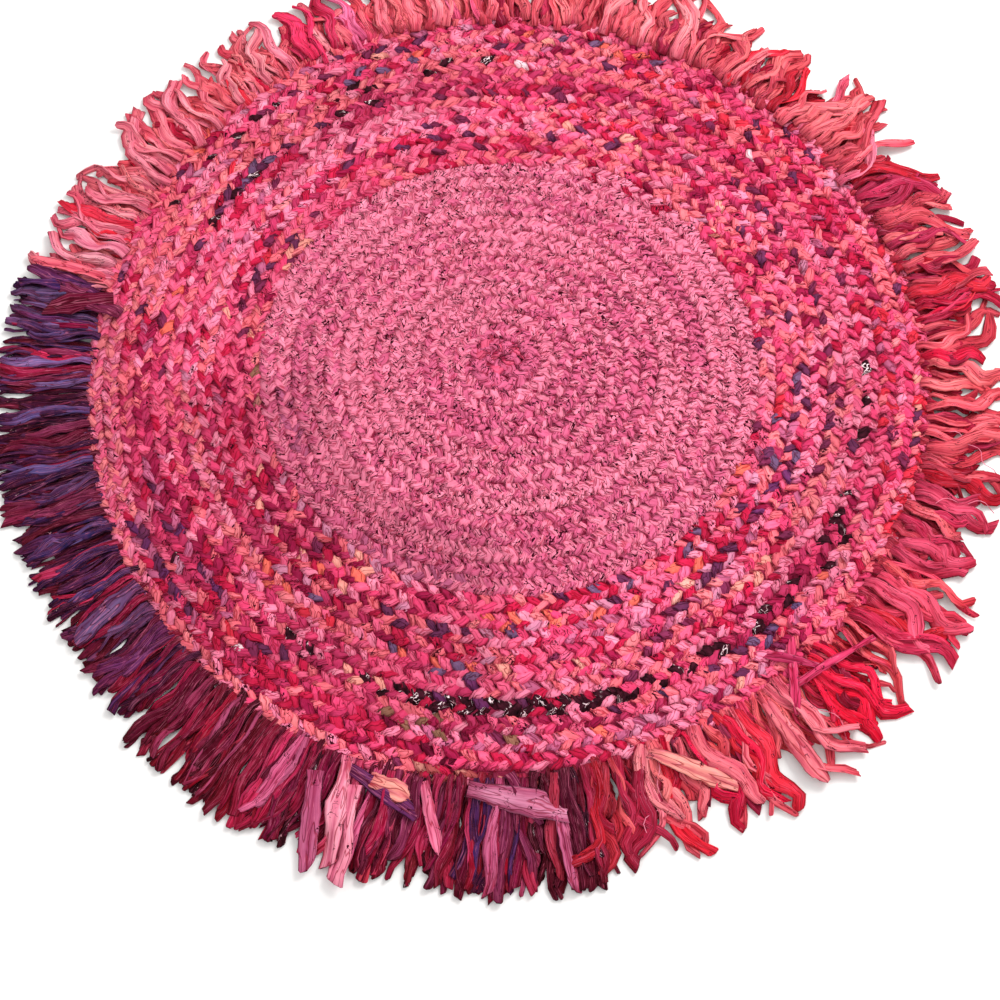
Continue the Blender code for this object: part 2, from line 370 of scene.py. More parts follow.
# Strips that stand out in the photograph.
LONE_STRIPS = (
    # run, root's angle and distance beyond the rim, tip's angle and radius, width, height, dye
    ("burgundy", -115.5, 0.030, -112.2, 0.755, 0.028, 0.015, "mauve"),
    ("burgundy", -112.4, -0.004, -110.3, 0.745, 0.032, 0.016, "shell"),
    ("burgundy", -110.6, 0.030, -109.0, 0.764, 0.030, 0.015, "shell"),
    ("burgundy", -109.0, 0.016, -103.8, 0.634, 0.030, 0.017, "peach"),
    ("burgundy", -112.0, 0.010, -102.6, 0.655, 0.024, 0.015, "purple"),
    ("plum", -97.0, 0.010, -85.2, 0.645, 0.042, 0.0165, "lavender"),
    ("plum", -86.2, 0.045, -85.4, 0.745, 0.026, 0.0090, "mauve"),
    ("plum", -92.0, -0.010, -88.6, 0.655, 0.022, 0.014, "plum"),
    ("burgundy", -102.5, 0.004, -99.5, 0.700, 0.020, 0.015, "rose"),
    ("lilac", -149.5, -0.004, -147.6, 0.705, 0.026, 0.016, "violet"),
    ("scarlet", -74.0, 0.004, -66.0, 0.675, 0.024, 0.0165, "peach"),
    ("cherry", -57.5, 0.010, -57.5, 0.725, 0.026, 0.015, "salmon"),
    ("cherry", -55.4, 0.048, -48.8, 0.552, 0.015, 0.0175, "hot_pink"),
    ("cherry", -49.0, 0.020, -53.3, 0.545, 0.013, 0.0170, "raspberry"),
    ("ruby", -41.6, 0.042, -55.7, 0.599, 0.014, 0.0185, "hot_pink"),
    ("navy", 168.2, -0.036, 165.6, 0.668, 0.034, 0.0155, "plum"),
    ("navy", 166.0, -0.020, 168.6, 0.672, 0.030, 0.0165, "burgundy"),
    ("navy", 165.2, 0.004, 163.6, 0.715, 0.022, 0.0130, "purple"),
    ("navy", 165.0, 0.010, 165.6, 0.722, 0.020, 0.0120, "indigo"),
    ("salmon", 163.0, 0.000, 162.4, 0.716, 0.020, 0.0140, "coral"),
)
SOLID_SEED = 11             # the clumps lean and bow as those of the solids
CLUMP_LEAN = 0.9
CLUMP_BOW = 0.004
SOLID_STRIP_DEG = 1.5


def unit(angle):
    """Directions in the rug's plane."""
    return np.stack([np.cos(angle), np.sin(angle)], axis=-1)


def drift(ring, angle):
    """Shift outwards of one ring of the coil at an angle."""
    return sum(
        cosine * np.cos(waves * angle) + sine * np.sin(waves * angle)
        for name, waves, cosine, sine in DRIFT
        if name == ring
    )


def place(radius, angle):
    """Plan position of points at these radii in the undisturbed coil."""
    inner = np.clip(radius / CENTRE_RADIUS, 0, 1)
    outer = np.maximum((radius - CENTRE_RADIUS) / (RIM_RADIUS - CENTRE_RADIUS), 0)
    shift = drift("centre", angle) * inner * (1 - outer) + drift("rim", angle) * outer
    knot_pull = np.multiply.outer(1 - inner, np.array(KNOT_OFFSET))
    return unit(angle) * (radius + shift)[..., None] + knot_pull


def edge_radius(turn):
    """Radius of the spiral edge between rows after so many turns."""
    in_border = np.maximum(turn - CENTRE_TURNS, 0) * BORDER_PITCH
    return np.clip(turn, 0, CENTRE_TURNS) * CENTRE_PITCH + in_border


def width_kept(turn):
    """Share of its full width that the braid has, less than 1 at its loose end."""
    to_end = (ALL_TURNS - turn) / LOOSE_END_TURNS
    return np.clip(LOOSE_END_WIDTH + (1 - LOOSE_END_WIDTH) * to_end, 0.05, 1)


def rim_radius(angle):
    """Radius of the rim in the undisturbed coil."""
    turn = ALL_TURNS - 1 + ((angle - END_ANGLE) / TURN) % 1
    inner = edge_radius(turn)
    return inner + (edge_radius(turn + 1) - inner) * width_kept(turn)


def rim_point(angle, beyond):
    """Plan position this far outside the rim."""
    spot = place(np.array(rim_radius(angle)), np.array(angle)) + unit(angle) * beyond
    return Vector(spot)


def weighted(rng, mix):
    """One dye of a mix, by its share."""
    words = mix.split()
    return rng.choices(words[::2], [float(share) for share in words[1::2]])[0]


# Materials -----------------------------------------------------------------------------


def put(tree, value, socket):
    """Link a socket to an input, or set a value or a colour of three channels on it."""
    if isinstance(value, bpy.types.NodeSocket):
        tree.links.new(value, socket)
    else:
        socket.default_value = (*value, 1) if socket.type == "RGBA" else value


def feed(tree, node, **values):
    """Links and values for a node's inputs. An underscore stands for a space."""
    for name, value in values.items():
        put(tree, value, node.inputs[name.replace("_", " ")])
    return node


def add(tree, kind, **settings):
    """A node of this kind. Names in small letters are its own settings, others its inputs."""
    node = tree.nodes.new("ShaderNode" + kind)
    for name in [name for name in settings if name.islower()]:
        setattr(node, name, settings.pop(name))
    return feed(tree, node, **settings)


def new_group(name, inputs, outputs):
    """An empty node group with these named sockets."""
    tree = bpy.data.node_groups.new(name, "ShaderNodeTree")
    for in_out, sockets in (("INPUT", inputs), ("OUTPUT", outputs)):
        for socket in sockets.split(", "):
            kind = "Vector" if socket in ("Vector", "Position") else "Float"
            tree.interface.new_socket(socket, in_out=in_out, socket_type="NodeSocket" + kind)
    return tree, tree.nodes.new("NodeGroupInput"), tree.nodes.new("NodeGroupOutput")


def use_group(tree, name, **values):
    """Place a node group in a tree."""
    return add(tree, "Group", node_tree=GROUPS[name], **values)


def stretched(tree, vector, scale):
    """The cloth's own coordinates, scaled differently across and along the strip."""
    scaled = add(tree, "VectorMath", operation="MULTIPLY")
    put(tree, vector, scaled.inputs[0])
    put(tree, scale, scaled.inputs[1])
    return scaled.outputs["Vector"]


def banded(tree, value, low, high):
    """A value mapped smoothly from 0 at low to 1 at high."""
    ranged = add(tree, "MapRange", interpolation_type="SMOOTHSTEP", Value=value,
                 From_Min=low, From_Max=high)
    return ranged.outputs["Result"]


def math_node(tree, operation, *values):
    """A Math node on sockets or numbers."""
    node = add(tree, "Math", operation=operation)
    for socket, value in zip(node.inputs, values):
        put(tree, value, socket)
    return node.outputs["Value"]


def distance(tree, value, middle):
    """How far a value is from this middle."""
    return math_node(tree, "ABSOLUTE", math_node(tree, "SUBTRACT", value, middle))


def noise(tree, vector, scale, detail, roughness=0.5):
    """Noise on these coordinates."""
    return add(
        tree, "TexNoise", Vector=vector, Scale=scale, Detail=detail, Roughness=roughness
    ).outputs["Fac"]


def mix_colour(tree, share, first, second, blend="MIX"):
    """Two colours mixed by a share."""
    node = add(tree, "Mix", data_type="RGBA", blend_type=blend)
    for index, value in ((0, share), (6, first), (7, second)):
        put(tree, value, node.inputs[index])
    return node.outputs[2]


def crease_group():
    """Sharp creases that run along a strip of rag, with soft crumples between them."""
    tree, start, end = new_group(
        "rag_creases", "Vector, Across, Along", "Crease, Height, Streak"
    )
    scale = add(tree, "CombineXYZ", X=start.outputs["Across"], Y=start.outputs["Along"])
    scaled = stretched(tree, start.outputs["Vector"], scale.outputs["Vector"])
    folds = noise(tree, scaled, 1.0, 1.5)
    crumple = noise(tree, scaled, 2.6, 2.0, 0.6)
    crease = banded(tree, distance(tree, folds, 0.5), 0.030, 0.0)
    height = math_node(tree, "ADD", math_node(tree, "SUBTRACT", folds, crease), crumple)
    feed(tree, end, Crease=crease, Height=height, Streak=banded(tree, crumple, 0.36, 0.64))
    return tree


def print_group():
    """Small dark printed scribble, drawn out along the strip. Amount 0 leaves it plain."""
    tree, start, end = new_group("print_marks", "Vector, Amount", "Mask")
    line = noise(tree, stretched(tree, start.outputs["Vector"], (260, 150, 1)), 1.0, 1.0)
    scribble = banded(tree, distance(tree, line, 0.5), 0.036, 0.014)
    patch = noise(tree, stretched(tree, start.outputs["Vector"], (95, 60, 1)), 1.0, 1.0)
    reach = math_node(tree, "MULTIPLY", start.outputs["Amount"], 0.235)
    shown = banded(tree, math_node(tree, "ADD", patch, reach), 0.59, 0.65)
    feed(tree, end, Mask=math_node(tree, "MULTIPLY", scribble, shown))
    return tree


def weave_group():
    """Plain weave of fine thread, as a height."""
    tree, start, end = new_group("plain_weave", "Vector", "Height")
    threads = [
        add(tree, "TexWave", wave_profile="SIN", bands_direction="DIAGONAL", Scale=1.0,
            Distortion=0.6, Vector=stretched(tree, start.outputs["Vector"], scale)).outputs["Fac"]
        for scale in ((2600, 0, 1), (0, 2600, 1))
    ]
    feed(tree, end, Height=math_node(tree, "MULTIPLY", *threads))
    return tree


def fray_group():
    """Pale threads that have worked loose along a strip."""
    tree, start, end = new_group("frayed_threads", "Vector", "Mask")
    line = noise(tree, stretched(tree, start.outputs["Vector"], (330, 14, 1)), 1.0, 1.0, 0.4)
    feed(tree, end, Mask=banded(tree, distance(tree, line, 0.53), 0.026, 0.008))
    return tree


def shade_group():
    """Painted shade between the lobes: darker the nearer a point lies to the braid's middle height.
    """
    tree, start, end = new_group("valley_soil", "Position, Half Thickness", "Soil")
    split = add(tree, "SeparateXYZ", Vector=start.outputs["Position"])
    half = start.outputs["Half Thickness"]
    share = math_node(tree, "DIVIDE", distance(tree, split.outputs["Z"], half), half)
    feed(tree, end, Soil=banded(tree, share, 0.90, 0.10))
    return tree


GROUPS = {
    "creases": crease_group(),
    "print": print_group(),
    "weave": weave_group(),
    "frayed": fray_group(),
    "soil": shade_group(),
}

# Colours on the cloth, as the renderer counts them: its fading and print ink, and the painted shade
# in its crumples, creases and valleys.
FADED = (0.90, 0.14, 0.30)
CRUMPLE_SHADE = (0.66, 0.34, 0.44)
CREASE_SHADE = (0.50, 0.03, 0.10)
VALLEY_SHADE = (0.66, 0.05, 0.16)
INK = linear("burgundy") * 0.34


def new_material(name):
    """A material with its node tree and its shader."""
    material = bpy.data.materials.new(name)
    material.use_nodes = True
    return material, material.node_tree, material.node_tree.nodes["Principled BSDF"]


def rag_material(name, creases_across, creases_along, crumple_shading, valley_shade_depth, bump, frayed=0.0):
    """Dyed rag cloth: its dye, with painted light and shade, comes from the piece, and the rest,
    with painted shade in crumples, creases and valleys, is worked out here.
    """
    material, tree, shader = new_material(name)
    # The dye attribute holds each point's dye with its painted light and shade.
    dye = add(tree, "Attribute", attribute_name="dye").outputs["Color"]
    marks = add(tree, "Attribute", attribute_name="print_amount").outputs["Fac"]
    strip = add(tree, "UVMap", uv_map="strip").outputs["UV"]
    position = add(tree, "TexCoord").outputs["Object"]
    creases = use_group(tree, "creases", Vector=strip, Across=creases_across, Along=creases_along)
    printed = use_group(tree, "print", Vector=strip, Amount=marks)
    weave = use_group(tree, "weave", Vector=strip)
    soil = use_group(tree, "soil", Position=position, Half_Thickness=BRAID_THICKNESS / 2)

    mottle = noise(tree, position, 90.0, 3.0, 0.6)
    faded = mix_colour(tree, 0.06, dye, FADED)
    cloth_colour = mix_colour(tree, banded(tree, mottle, 0.3, 0.7), dye, faded)
    # Painted shade in the crumples' hollows, lighter on their crests.
    crumple_shaded = mix_colour(tree, crumple_shading, cloth_colour, CRUMPLE_SHADE, "MULTIPLY")
    cloth_colour = mix_colour(tree, creases.outputs["Streak"], crumple_shaded, cloth_colour)
    depth_of_dye = add(tree, "RGBToBW", Color=dye).outputs["Val"]
    on_black = banded(tree, depth_of_dye, 0.008, 0.005)
    ink = mix_colour(tree, on_black, INK, linear("white"))
    marked = mix_colour(tree, printed.outputs["Mask"], cloth_colour, ink)
    if frayed:
        loose = use_group(tree, "frayed", Vector=strip)
        pale = mix_colour(tree, frayed, marked, linear("rose"))
        marked = mix_colour(tree, loose.outputs["Mask"], marked, pale)
    # Painted shade in the creases.
    fully_crease_shaded = mix_colour(tree, 0.7, marked, CREASE_SHADE, "MULTIPLY")
    crease_shaded = mix_colour(tree, creases.outputs["Crease"], marked, fully_crease_shaded)
    # Painted shade at the braid's middle height, in the valleys between the lobes, and on the
    # fringe's lower strips.
    deep = mix_colour(tree, valley_shade_depth, crease_shaded, VALLEY_SHADE, "MULTIPLY")

    rough = add(tree, "MapRange", Value=mottle, To_Min=0.72, To_Max=0.92)
    threads = add(tree, "Bump", Strength=0.25, Distance=0.0002, Height=weave.outputs["Height"])
    relief = add(tree, "Bump", Strength=bump, Distance=0.0012, Height=creases.outputs["Height"],
                 Normal=threads.outputs["Normal"])
    feed(tree, shader, Base_Color=mix_colour(tree, soil.outputs["Soil"], crease_shaded, deep),
         Roughness=rough.outputs["Result"], Normal=relief.outputs["Normal"],
         Sheen_Weight=0.012, Sheen_Roughness=0.5, Specular_IOR_Level=0.04)
    return material


def floor_material():
    """Pale matt floor with a faint unevenness."""
    material, tree, shader = new_material("pale_floor")
    uneven = noise(tree, add(tree, "TexCoord").outputs["Object"], 3.0, 4.0)
    tone = mix_colour(tree, uneven, (0.86, 0.86, 0.86), (0.90, 0.90, 0.90))
    feed(tree, shader, Base_Color=tone, Roughness=0.85)
    return material


CENTRE_CLOTH = rag_material("rose_print_cloth", 230, 60, 0.38, 0.1, 0.9)
BORDER_CLOTH = rag_material("mixed_rag_cloth", 240, 65, 0.38, 0.2, 1.0)
FRINGE_CLOTH = rag_material("fringe_cloth", 180, 15, 0.42, 0.55, 1.0, frayed=0.28)


# Tubes of cloth -------------------------------------------------------------------------


def grid(steps_along, steps_across):
    """A flat square grid with strip coordinates."""
    bm = bmesh.new()
    bm.loops.layers.uv.new("strip")
    bmesh.ops.create_grid(
        bm, x_segments=steps_along, y_segments=steps_across, size=0.5, calc_uvs=True
    )
    return bm


def mesh_of(name, bm):
    """The mesh that a bmesh has become."""
    mesh = bpy.data.meshes.new(name)
    bm.to_mesh(mesh)
    bm.free()
    return mesh


def set_up(name, data):
    """An object for this mesh, lamp or camera, in the scene."""
    piece = bpy.data.objects.new(name, data)
    bpy.context.scene.collection.objects.link(piece)
    return piece


def dressed(name, mesh, material):
    """A finished mesh in its cloth, as a piece of the rug."""
    mesh.shade_smooth()
    mesh.materials.append(material)
    piece = set_up(name, mesh)
    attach(piece, "root")
    return piece


def grid_template(rings, sides):
    """A flat grid mesh, with the ring and side that each of its points belongs to."""
    mesh = mesh_of("grid", grid(rings - 1, sides))
    mesh.attributes.new("dye", "FLOAT_COLOR", "POINT")
    mesh.attributes.new("print_amount", "FLOAT", "POINT")
    flat = np.empty(len(mesh.vertices) * 3)
    mesh.vertices.foreach_get("co", flat)
    flat = flat.reshape(-1, 3)
    ring = np.rint((flat[:, 0] + 0.5) * (rings - 1)).astype(int)
    side = np.rint((flat[:, 1] + 0.5) * sides).astype(int)
    uv = np.empty(len(mesh.loops) * 2)
    mesh.uv_layers["strip"].data.foreach_get("uv", uv)
    return mesh, ring, side, uv.reshape(-1, 2)


def add_tube(bm, template, points, dye, print_amount, girth, length, offset):
    """A closed tube through rings of points, with its dye and painted shade, and its own strip
    coordinates.
    """
    mesh, ring, side, uv = template
    placed = points[ring, side % points.shape[1]]
    mesh.vertices.foreach_set("co", placed.astype(np.float32).ravel())
    colours = np.ones((len(ring), 4), np.float32)
    colours[:, :3] = dye[ring] if dye.ndim == 2 else dye[ring, side % points.shape[1]]
    mesh.attributes["dye"].data.foreach_set("color", colours.ravel())
    mesh.attributes["print_amount"].data.foreach_set("value", print_amount[ring].astype(np.float32))
    strip = np.stack([uv[:, 1] * girth, uv[:, 0] * length + offset], axis=-1)
    mesh.uv_layers["strip"].data.foreach_set("uv", strip.astype(np.float32).ravel())
    bm.from_mesh(mesh)


def finished_piece(name, bm, material, replaced):
    """Weld the tubes' seams, cap their ends, and hand the piece over to the frame."""
    bmesh.ops.remove_doubles(bm, verts=bm.verts, dist=1e-6)
    open_edges = [edge for edge in bm.edges if edge.is_boundary]
    bmesh.ops.holes_fill(bm, edges=open_edges, sides=0)
    bmesh.ops.recalc_face_normals(bm, faces=bm.faces)
    piece = dressed(name, mesh_of(name, bm), material)
    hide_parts(replaced)
    return piece


# The braid ------------------------------------------------------------------------------


def braid_sections():
    """Turn and swing phase of each section along the whole braid, evenly spaced."""
    turns = np.linspace(BRAID_START, ALL_TURNS, 20000)
    radii = (edge_radius(turns) + edge_radius(turns + 1)) / 2
    lobe = np.where(turns < CENTRE_TURNS, CENTRE_LOBE, BORDER_LOBE)
    step = np.diff(turns) * TURN * (radii[1:] + radii[:-1]) / 2
    lengths = np.concatenate([[0], np.cumsum(step)])
    for wave, share in LOBE_WAVES:
        lobe = lobe * (1 + share * np.sin(TURN * lengths / wave))
    phases = np.concatenate([[0], np.cumsum(step / lobe[1:])]) * math.pi
    count = int(phases[-1] / math.pi * SECTIONS_A_LOBE)
    phase = np.arange(count + 1) * math.pi / SECTIONS_A_LOBE
    return {
        "phase": phase,
        "turn": np.interp(phase, phases, turns),
        "length": np.interp(phase, phases, lengths),
    }


SECTIONS = braid_sections()
HIDDEN_PHASE = 0.15 * math.pi   # past the middle of the braid, where a strand is covered


def lobe_numbers(phase):
    """Which lobe of its strand each section belongs to."""
    return np.floor((phase - HIDDEN_PHASE) / math.pi).astype(int) + 1


def settled(values, phase):
    """Values of the lobes, carried over from one to the next where the strand is hidden."""
    place_in = (phase - HIDDEN_PHASE) / math.pi + 1
    lobe = np.floor(place_in).astype(int)
    share = np.clip((place_in - lobe - 0.75) / 0.25, 0, 1)
    share = share * share * (3 - 2 * share)
    return values[lobe] * (1 - share) + values[lobe + 1] * share


def span_dyes():
    """The spans of each row, as start and end within that row's own turn."""
    rows = {}
    for line in SPANS.strip().splitlines():
        row, start, end, *dyes = line.split()
        first = (int(start) - ROW_START_DEG) % 360
        last = first + (int(end) - int(start)) % 360
        rows.setdefault(int(row), []).append((first, last, dyes))
    return rows


ROW_SPANS = span_dyes()


def row_of(turn):
    """Row at this turn, counted outwards from the centre, and degrees into the row."""
    return math.floor(turn - CENTRE_TURNS) + 1, (turn - CENTRE_TURNS) % 1 * 360


def looked_up(areas, turn, otherwise):
    """What a table of areas gives for this turn of the braid."""
    row, into = row_of(turn)
    for first, last, start, end, found in areas:
        if first <= row <= last and start < ROW_START_DEG + into < end:
            return found
    return otherwise


def base_mix(turn):
    """The rag mix in use at this turn of the braid."""
    if turn < KNOT_TURNS:
        return "knot"
    row = row_of(turn)[0]
    usual = ROW_MIXES[min(row, len(ROW_MIXES)) - 1] if row > 0 else "centre"
    return looked_up(PATCHES, turn, usual)


def spanned_dye(turn, strand):
    """The dye that a span gives this strand at this turn, or none."""
    row, into = row_of(turn)
    found = ""
    for first, last, dyes in ROW_SPANS.get(row, ()):
        if first <= into <= last and dyes[strand] != "-":
            found = dyes[strand]
    return found


def strand_dyes_and_shade(strand, lobe_turns):
    """Dye and print of each lobe of one strand, with the painted light and shade and the wear of
    its broad area.
    """
    rng = random.Random(FIRST_SEED + strand)
    colours, prints = [], []
    left, dye, print_amount = 0, None, 0.0
    for number, turn in enumerate(lobe_turns):
        in_centre = turn < CENTRE_TURNS
        if left <= 0:
            mix = base_mix(turn)
            left = rng.randint(*(MOSAIC_LOBES if mix == "mosaic" else RAG_LOBES))
            dye = weighted(rng, MIXES[mix])
            marked = rng.random() < PRINTED_SHARE[int(in_centre)]
            print_amount = rng.uniform(0.55, 1.0) if marked else 0.0
        left -= 1
        shown = dye
        if not in_centre:
            if rng.random() < ACCENT_SHARE:
                shown = weighted(rng, ACCENTS)
            elif rng.random() < OTHER_RAG_SHARE:
                shown = weighted(rng, MIXES[base_mix(turn)])
            spanned = spanned_dye(turn, strand)
            held = rng.random() < SPAN_HELD[number % 2 == 0]
            if spanned and (held or spanned.endswith("+")):
                shown = spanned.rstrip("+")
        # Painted light and shade, partly wear, of the broad area.
        tone = rng.uniform(*TONE_SPREAD) * looked_up(WORN_AND_SHADED_AREAS, turn, 1.0)
        colours.append(linear(shown) * tone)
        flecked = rng.uniform(0.0, 0.55) if shown == "black" else print_amount
        prints.append(flecked * rng.uniform(0.6, 1.1))
    return np.clip(np.array(colours), 0, 1), np.array(prints)


ROUGHNESS = (
    # what varies from lobe to lobe, by how much in the centre, and in the border
    ("side", 0.0022, 0.0021),
    ("lift", 0.0007, 0.0007),
    ("roll", 0.45, 0.44),
    ("width", 0.22, 0.29),
    ("pleat", 1.3, 1.2),
    ("slide", 0.0032, 0.0054),
)


def squared(value, power):
    """A value between -1 and 1, pushed outwards by a power below 1."""
    return np.sign(value) * np.abs(value) ** power


def strand_shape(strand):
    """Ring points of one strand over the whole braid."""
    phase = SECTIONS["phase"] + strand * TURN / STRANDS
    turn = SECTIONS["turn"]
    inner, outer = edge_radius(turn), edge_radius(turn + 1)
    middle = (inner + outer) / 2
    kept = width_kept(turn)
    scale = (outer - inner) / 2 / HALF_ROW * kept

    rng = np.random.default_rng(FIRST_SEED + 10 + strand)
    lobes = lobe_numbers(phase).max() + 3
    in_centre = turn < CENTRE_TURNS
    jitter = {}
    for name, centre_size, border_size in ROUGHNESS:
        size = np.where(in_centre, centre_size, border_size)
        jitter[name] = settled(rng.uniform(-1, 1, lobes), phase) * size

    climb = np.tanh(SHARP_DIVE * np.sin(2 * (phase - LATE_DIVE))) / math.tanh(SHARP_DIVE)
    swing = np.tanh(SHARP_TURN * np.sin(phase)) / math.tanh(SHARP_TURN)
    side = SWAY * swing + jitter["side"]
    lift = BRAID_THICKNESS / 2 - np.where(in_centre, *RISE) * climb + jitter["lift"]
    slope = np.gradient(SWAY * swing) / np.gradient(SECTIONS["length"])
    lean = np.gradient(lift) / np.gradient(SECTIONS["length"])
    turned = np.sin(np.clip(np.cos(phase) * math.sqrt(2), -1, 1) * math.pi / 2)
    roll = (1 + turned) * math.pi / 2 + jitter["roll"]

    flat = squared(np.cos(CORNERS), RING_SQUARENESS)
    thick = squared(np.sin(CORNERS), RING_SQUARENESS)
    pleat = 1 + PLEAT_SIZE * np.multiply.outer(jitter["pleat"], np.cos(2 * CORNERS))
    across = STRAND_HALF_WIDTH * np.multiply.outer(1 + jitter["width"], flat)
    up = STRAND_HALF_THICKNESS * thick * pleat
    cos_roll, sin_roll = np.cos(roll)[:, None], np.sin(roll)[:, None]
    wide = across * cos_roll + up * sin_roll
    high = up * cos_roll - across * sin_roll

    steep = np.hypot(1, slope)[:, None]
    ahead = -wide * slope[:, None] / steep - high * lean[:, None] + jitter["slide"][:, None]
    sideways = side[:, None] + wide / steep
    radius = middle[:, None] + sideways * scale[:, None]
    around = np.maximum(middle, KNOT_RADIUS)
    angle = (START_ANGLE + turn * TURN)[:, None] + ahead / around[:, None]
    height = (lift[:, None] + high) * np.sqrt(kept)[:, None]
    plan = place(radius, angle)
    return np.dstack([plan, np.maximum(height, FLOOR_CLEARANCE)])


def braid_strands():
    """Shape, dye and print of every strand over the whole braid, its dye with painted light and
    shade.
    """
    strands = []
    for strand in range(STRANDS):
        phase = SECTIONS["phase"] + strand * TURN / STRANDS
        numbers = lobe_numbers(phase)
        middles = (np.arange(numbers.max() + 1) - 0.5) * math.pi + HIDDEN_PHASE
        lobe_turns = np.interp(middles, phase, SECTIONS["turn"])
        colours, prints = strand_dyes_and_shade(strand, lobe_turns)
        strands.append((strand_shape(strand), colours[numbers], prints[numbers]))
    return strands


BRAID_PIECES = (
    # coil, part, turn at which it ends
    ("centre", "inner", 10.4),
    ("centre", "outer", CENTRE_TURNS),
    ("border", "inner", 18.2),
    ("border", "middle", 21.4),
    ("border", "outer", 24.2),
    ("border", "rim", ALL_TURNS),
)
GIRTH = 0.030
STRAND_OFFSET = 3.7         # keeps one strand's creases unlike its neighbour's
# How much red, green and blue each side of a strand keeps: painted shade, darker at the sides where
# the rags tuck under.
SIDE_SHADE_KEPT = 1 - np.outer(np.abs(np.cos(CORNERS)) ** 4, (0.22, 0.58, 0.46))


def braid():
    """The coiled braid, as pieces that follow on from each other."""
    strands = braid_strands()
    pieces = []
    start = 0
    for coil, name, end in BRAID_PIECES:
        stop = min(int(np.searchsorted(SECTIONS["turn"], end)), len(SECTIONS["turn"]) - 1)
        lengths = SECTIONS["length"][[start, stop]]
        template = grid_template(stop - start + 1, RING_SIDES)
        bm = bmesh.new()
        part = slice(start, stop + 1)
        for number, (points, colours, prints) in enumerate(strands):
            # Painted shade on each strand's sides, where it tucks under.
            dye = colours[part][:, None, :] * SIDE_SHADE_KEPT
            add_tube(bm, template, points[part], dye, prints[part], GIRTH,
                     lengths[1] - lengths[0], lengths[0] + number * STRAND_OFFSET)
        bpy.data.meshes.remove(template[0])
        cloth = CENTRE_CLOTH if coil == "centre" else BORDER_CLOTH
        slot = coil + "_braid"
        pieces.append(finished_piece(slot + "_" + name, bm, cloth, coil + "_coil"))
        start = stop
    return pieces


# The fringe -----------------------------------------------------------------------------

STRIP_STATIONS = 12
STRIP_ACROSS = 9            # points across a strip's upper side
STRIP_BELOW = 3             # points across its underside
UNDERLAY = (0.0006, 0.0040)         # height at rest and at the root of the lowest strips
LAYERS = (
    # height at rest, height at the root, share of the reach, tone: painted light and shade, darker
    # on the lower layers and lighter on the upper
    (0.0028, 0.0074, 0.98, 1.00),
    (0.0056, 0.0104, 1.00, 1.20),
    (0.0088, 0.0140, 0.93, 1.38),
)
CLOTH_THICKNESS = 0.0007
ROOT_DIP = 0.0050           # how far a strip's first ring dips under the rim
RIPPLE = 0.0014             # how high a strip's ripples are
KNOBS = (0.84, 1.14)        # how its width varies from ring to ring
GATHERED_ROOT = (0.55, 0.80)        # how narrow it is where it is sewn on
NARROWED_TIP = (0.1, 0.45)  # how much narrower its end is
MOST_ROLL = 0.9
PLEAT_DEPTH = (0.15, 0.26)  # by its width
PLEAT_DRIFT = 1.6           # how far the pleats wander across it
MOST_SLANT = 0.95           # of the cut end
END_ROUNDING = (-0.25, 0.55)
FLATTENED_FROM = 0.0170     # strips that would stand higher than this lie flatter
TOP_LIMIT = 0.0215
UNEVEN_REACH = 0.34
GATHERED = (0.30, 0.52)     # half a bunch's width at the rim, by its span, unpinched and pinched
LOWER_REACH = 0.008         # how far the roots of the lower layers reach over the rim
# The strips that stand out: how far they lie above the others, how much they wind and fold.
LAID_OVER = 0.006
LONE_BEND = 0.008
LONE_FOLDS = 0.3
# How the runs have faded: the close ones not at all, the fans redder, the others yellower.
TINTS = {"close": (1.0, 1.0, 1.0), "fans": (1.0, 0.80, 0.68), "open": (1.0, 0.92, 0.82)}
THREAD_RUNS = ("scarlet", "cherry", "tan")
THREAD_STATIONS = 16
THREAD_SIDES = 4
THREAD_RADIUS = 0.0006
THREAD_HEIGHT = 0.0165
LONGEST_STRIP = 0.165
MAIN_DYE_SHARE = 0.35       # how many strips of a bunch have its main dye
PRINTED_STRIPS = 0.10       # how many of the pale ones are printed
UNDERLAY_ROOTS = (-0.018, -0.008)   # how far beyond the rim the lowest strips' roots are
# In the open runs, and in the close ones; the lowest strips' tone is painted shade, as they lie
# under the others:
UNDERLAY_SHADE = (0.66, 0.50)
UNDERLAY_REACH = (0.62, 0.93)
UNDERLAY_COVER = (1.7, 2.3)         # how many times over the lowest strips cover the ground
BUNCH_COVER = (1.30, 2.25)          # how many times over the bunches do
PLEAT_SHADE = (0.44, 0.60)          # how dark a pleat's bottom is
BEND = (0.105, 0.035)       # how much a strip winds, by its length
UNLIKE = (0.18, 0.34)       # how much lighter or darker it may be than its layer


def solid_clumps():
    """Middle, lean and bow of each clump of each run, as the solids draw them."""
    rng = random.Random(SOLID_SEED)
    runs = {}
    for name, start, end, clumps, *_ in FRINGE:
        size = (end - start) / clumps
        runs[name] = [
            (start + (index + 0.5) * size, rng.uniform(-CLUMP_LEAN, CLUMP_LEAN),
             rng.uniform(-CLUMP_BOW, CLUMP_BOW))
            for index in range(clumps)
        ]
        for _ in range(2 * round((end - start) / SOLID_STRIP_DEG)):
            rng.random()
    return runs


def eased(value):
    """Smooth step from 0 to 1."""
    value = np.clip(value, 0, 1)
    return value * value * (3 - 2 * value)


def wave(rng, share, fewest, most):
    """A wave along a strip, with a random number of swings and start."""
    return np.sin(TURN * share * rng.uniform(fewest, most) + rng.uniform(0, TURN))


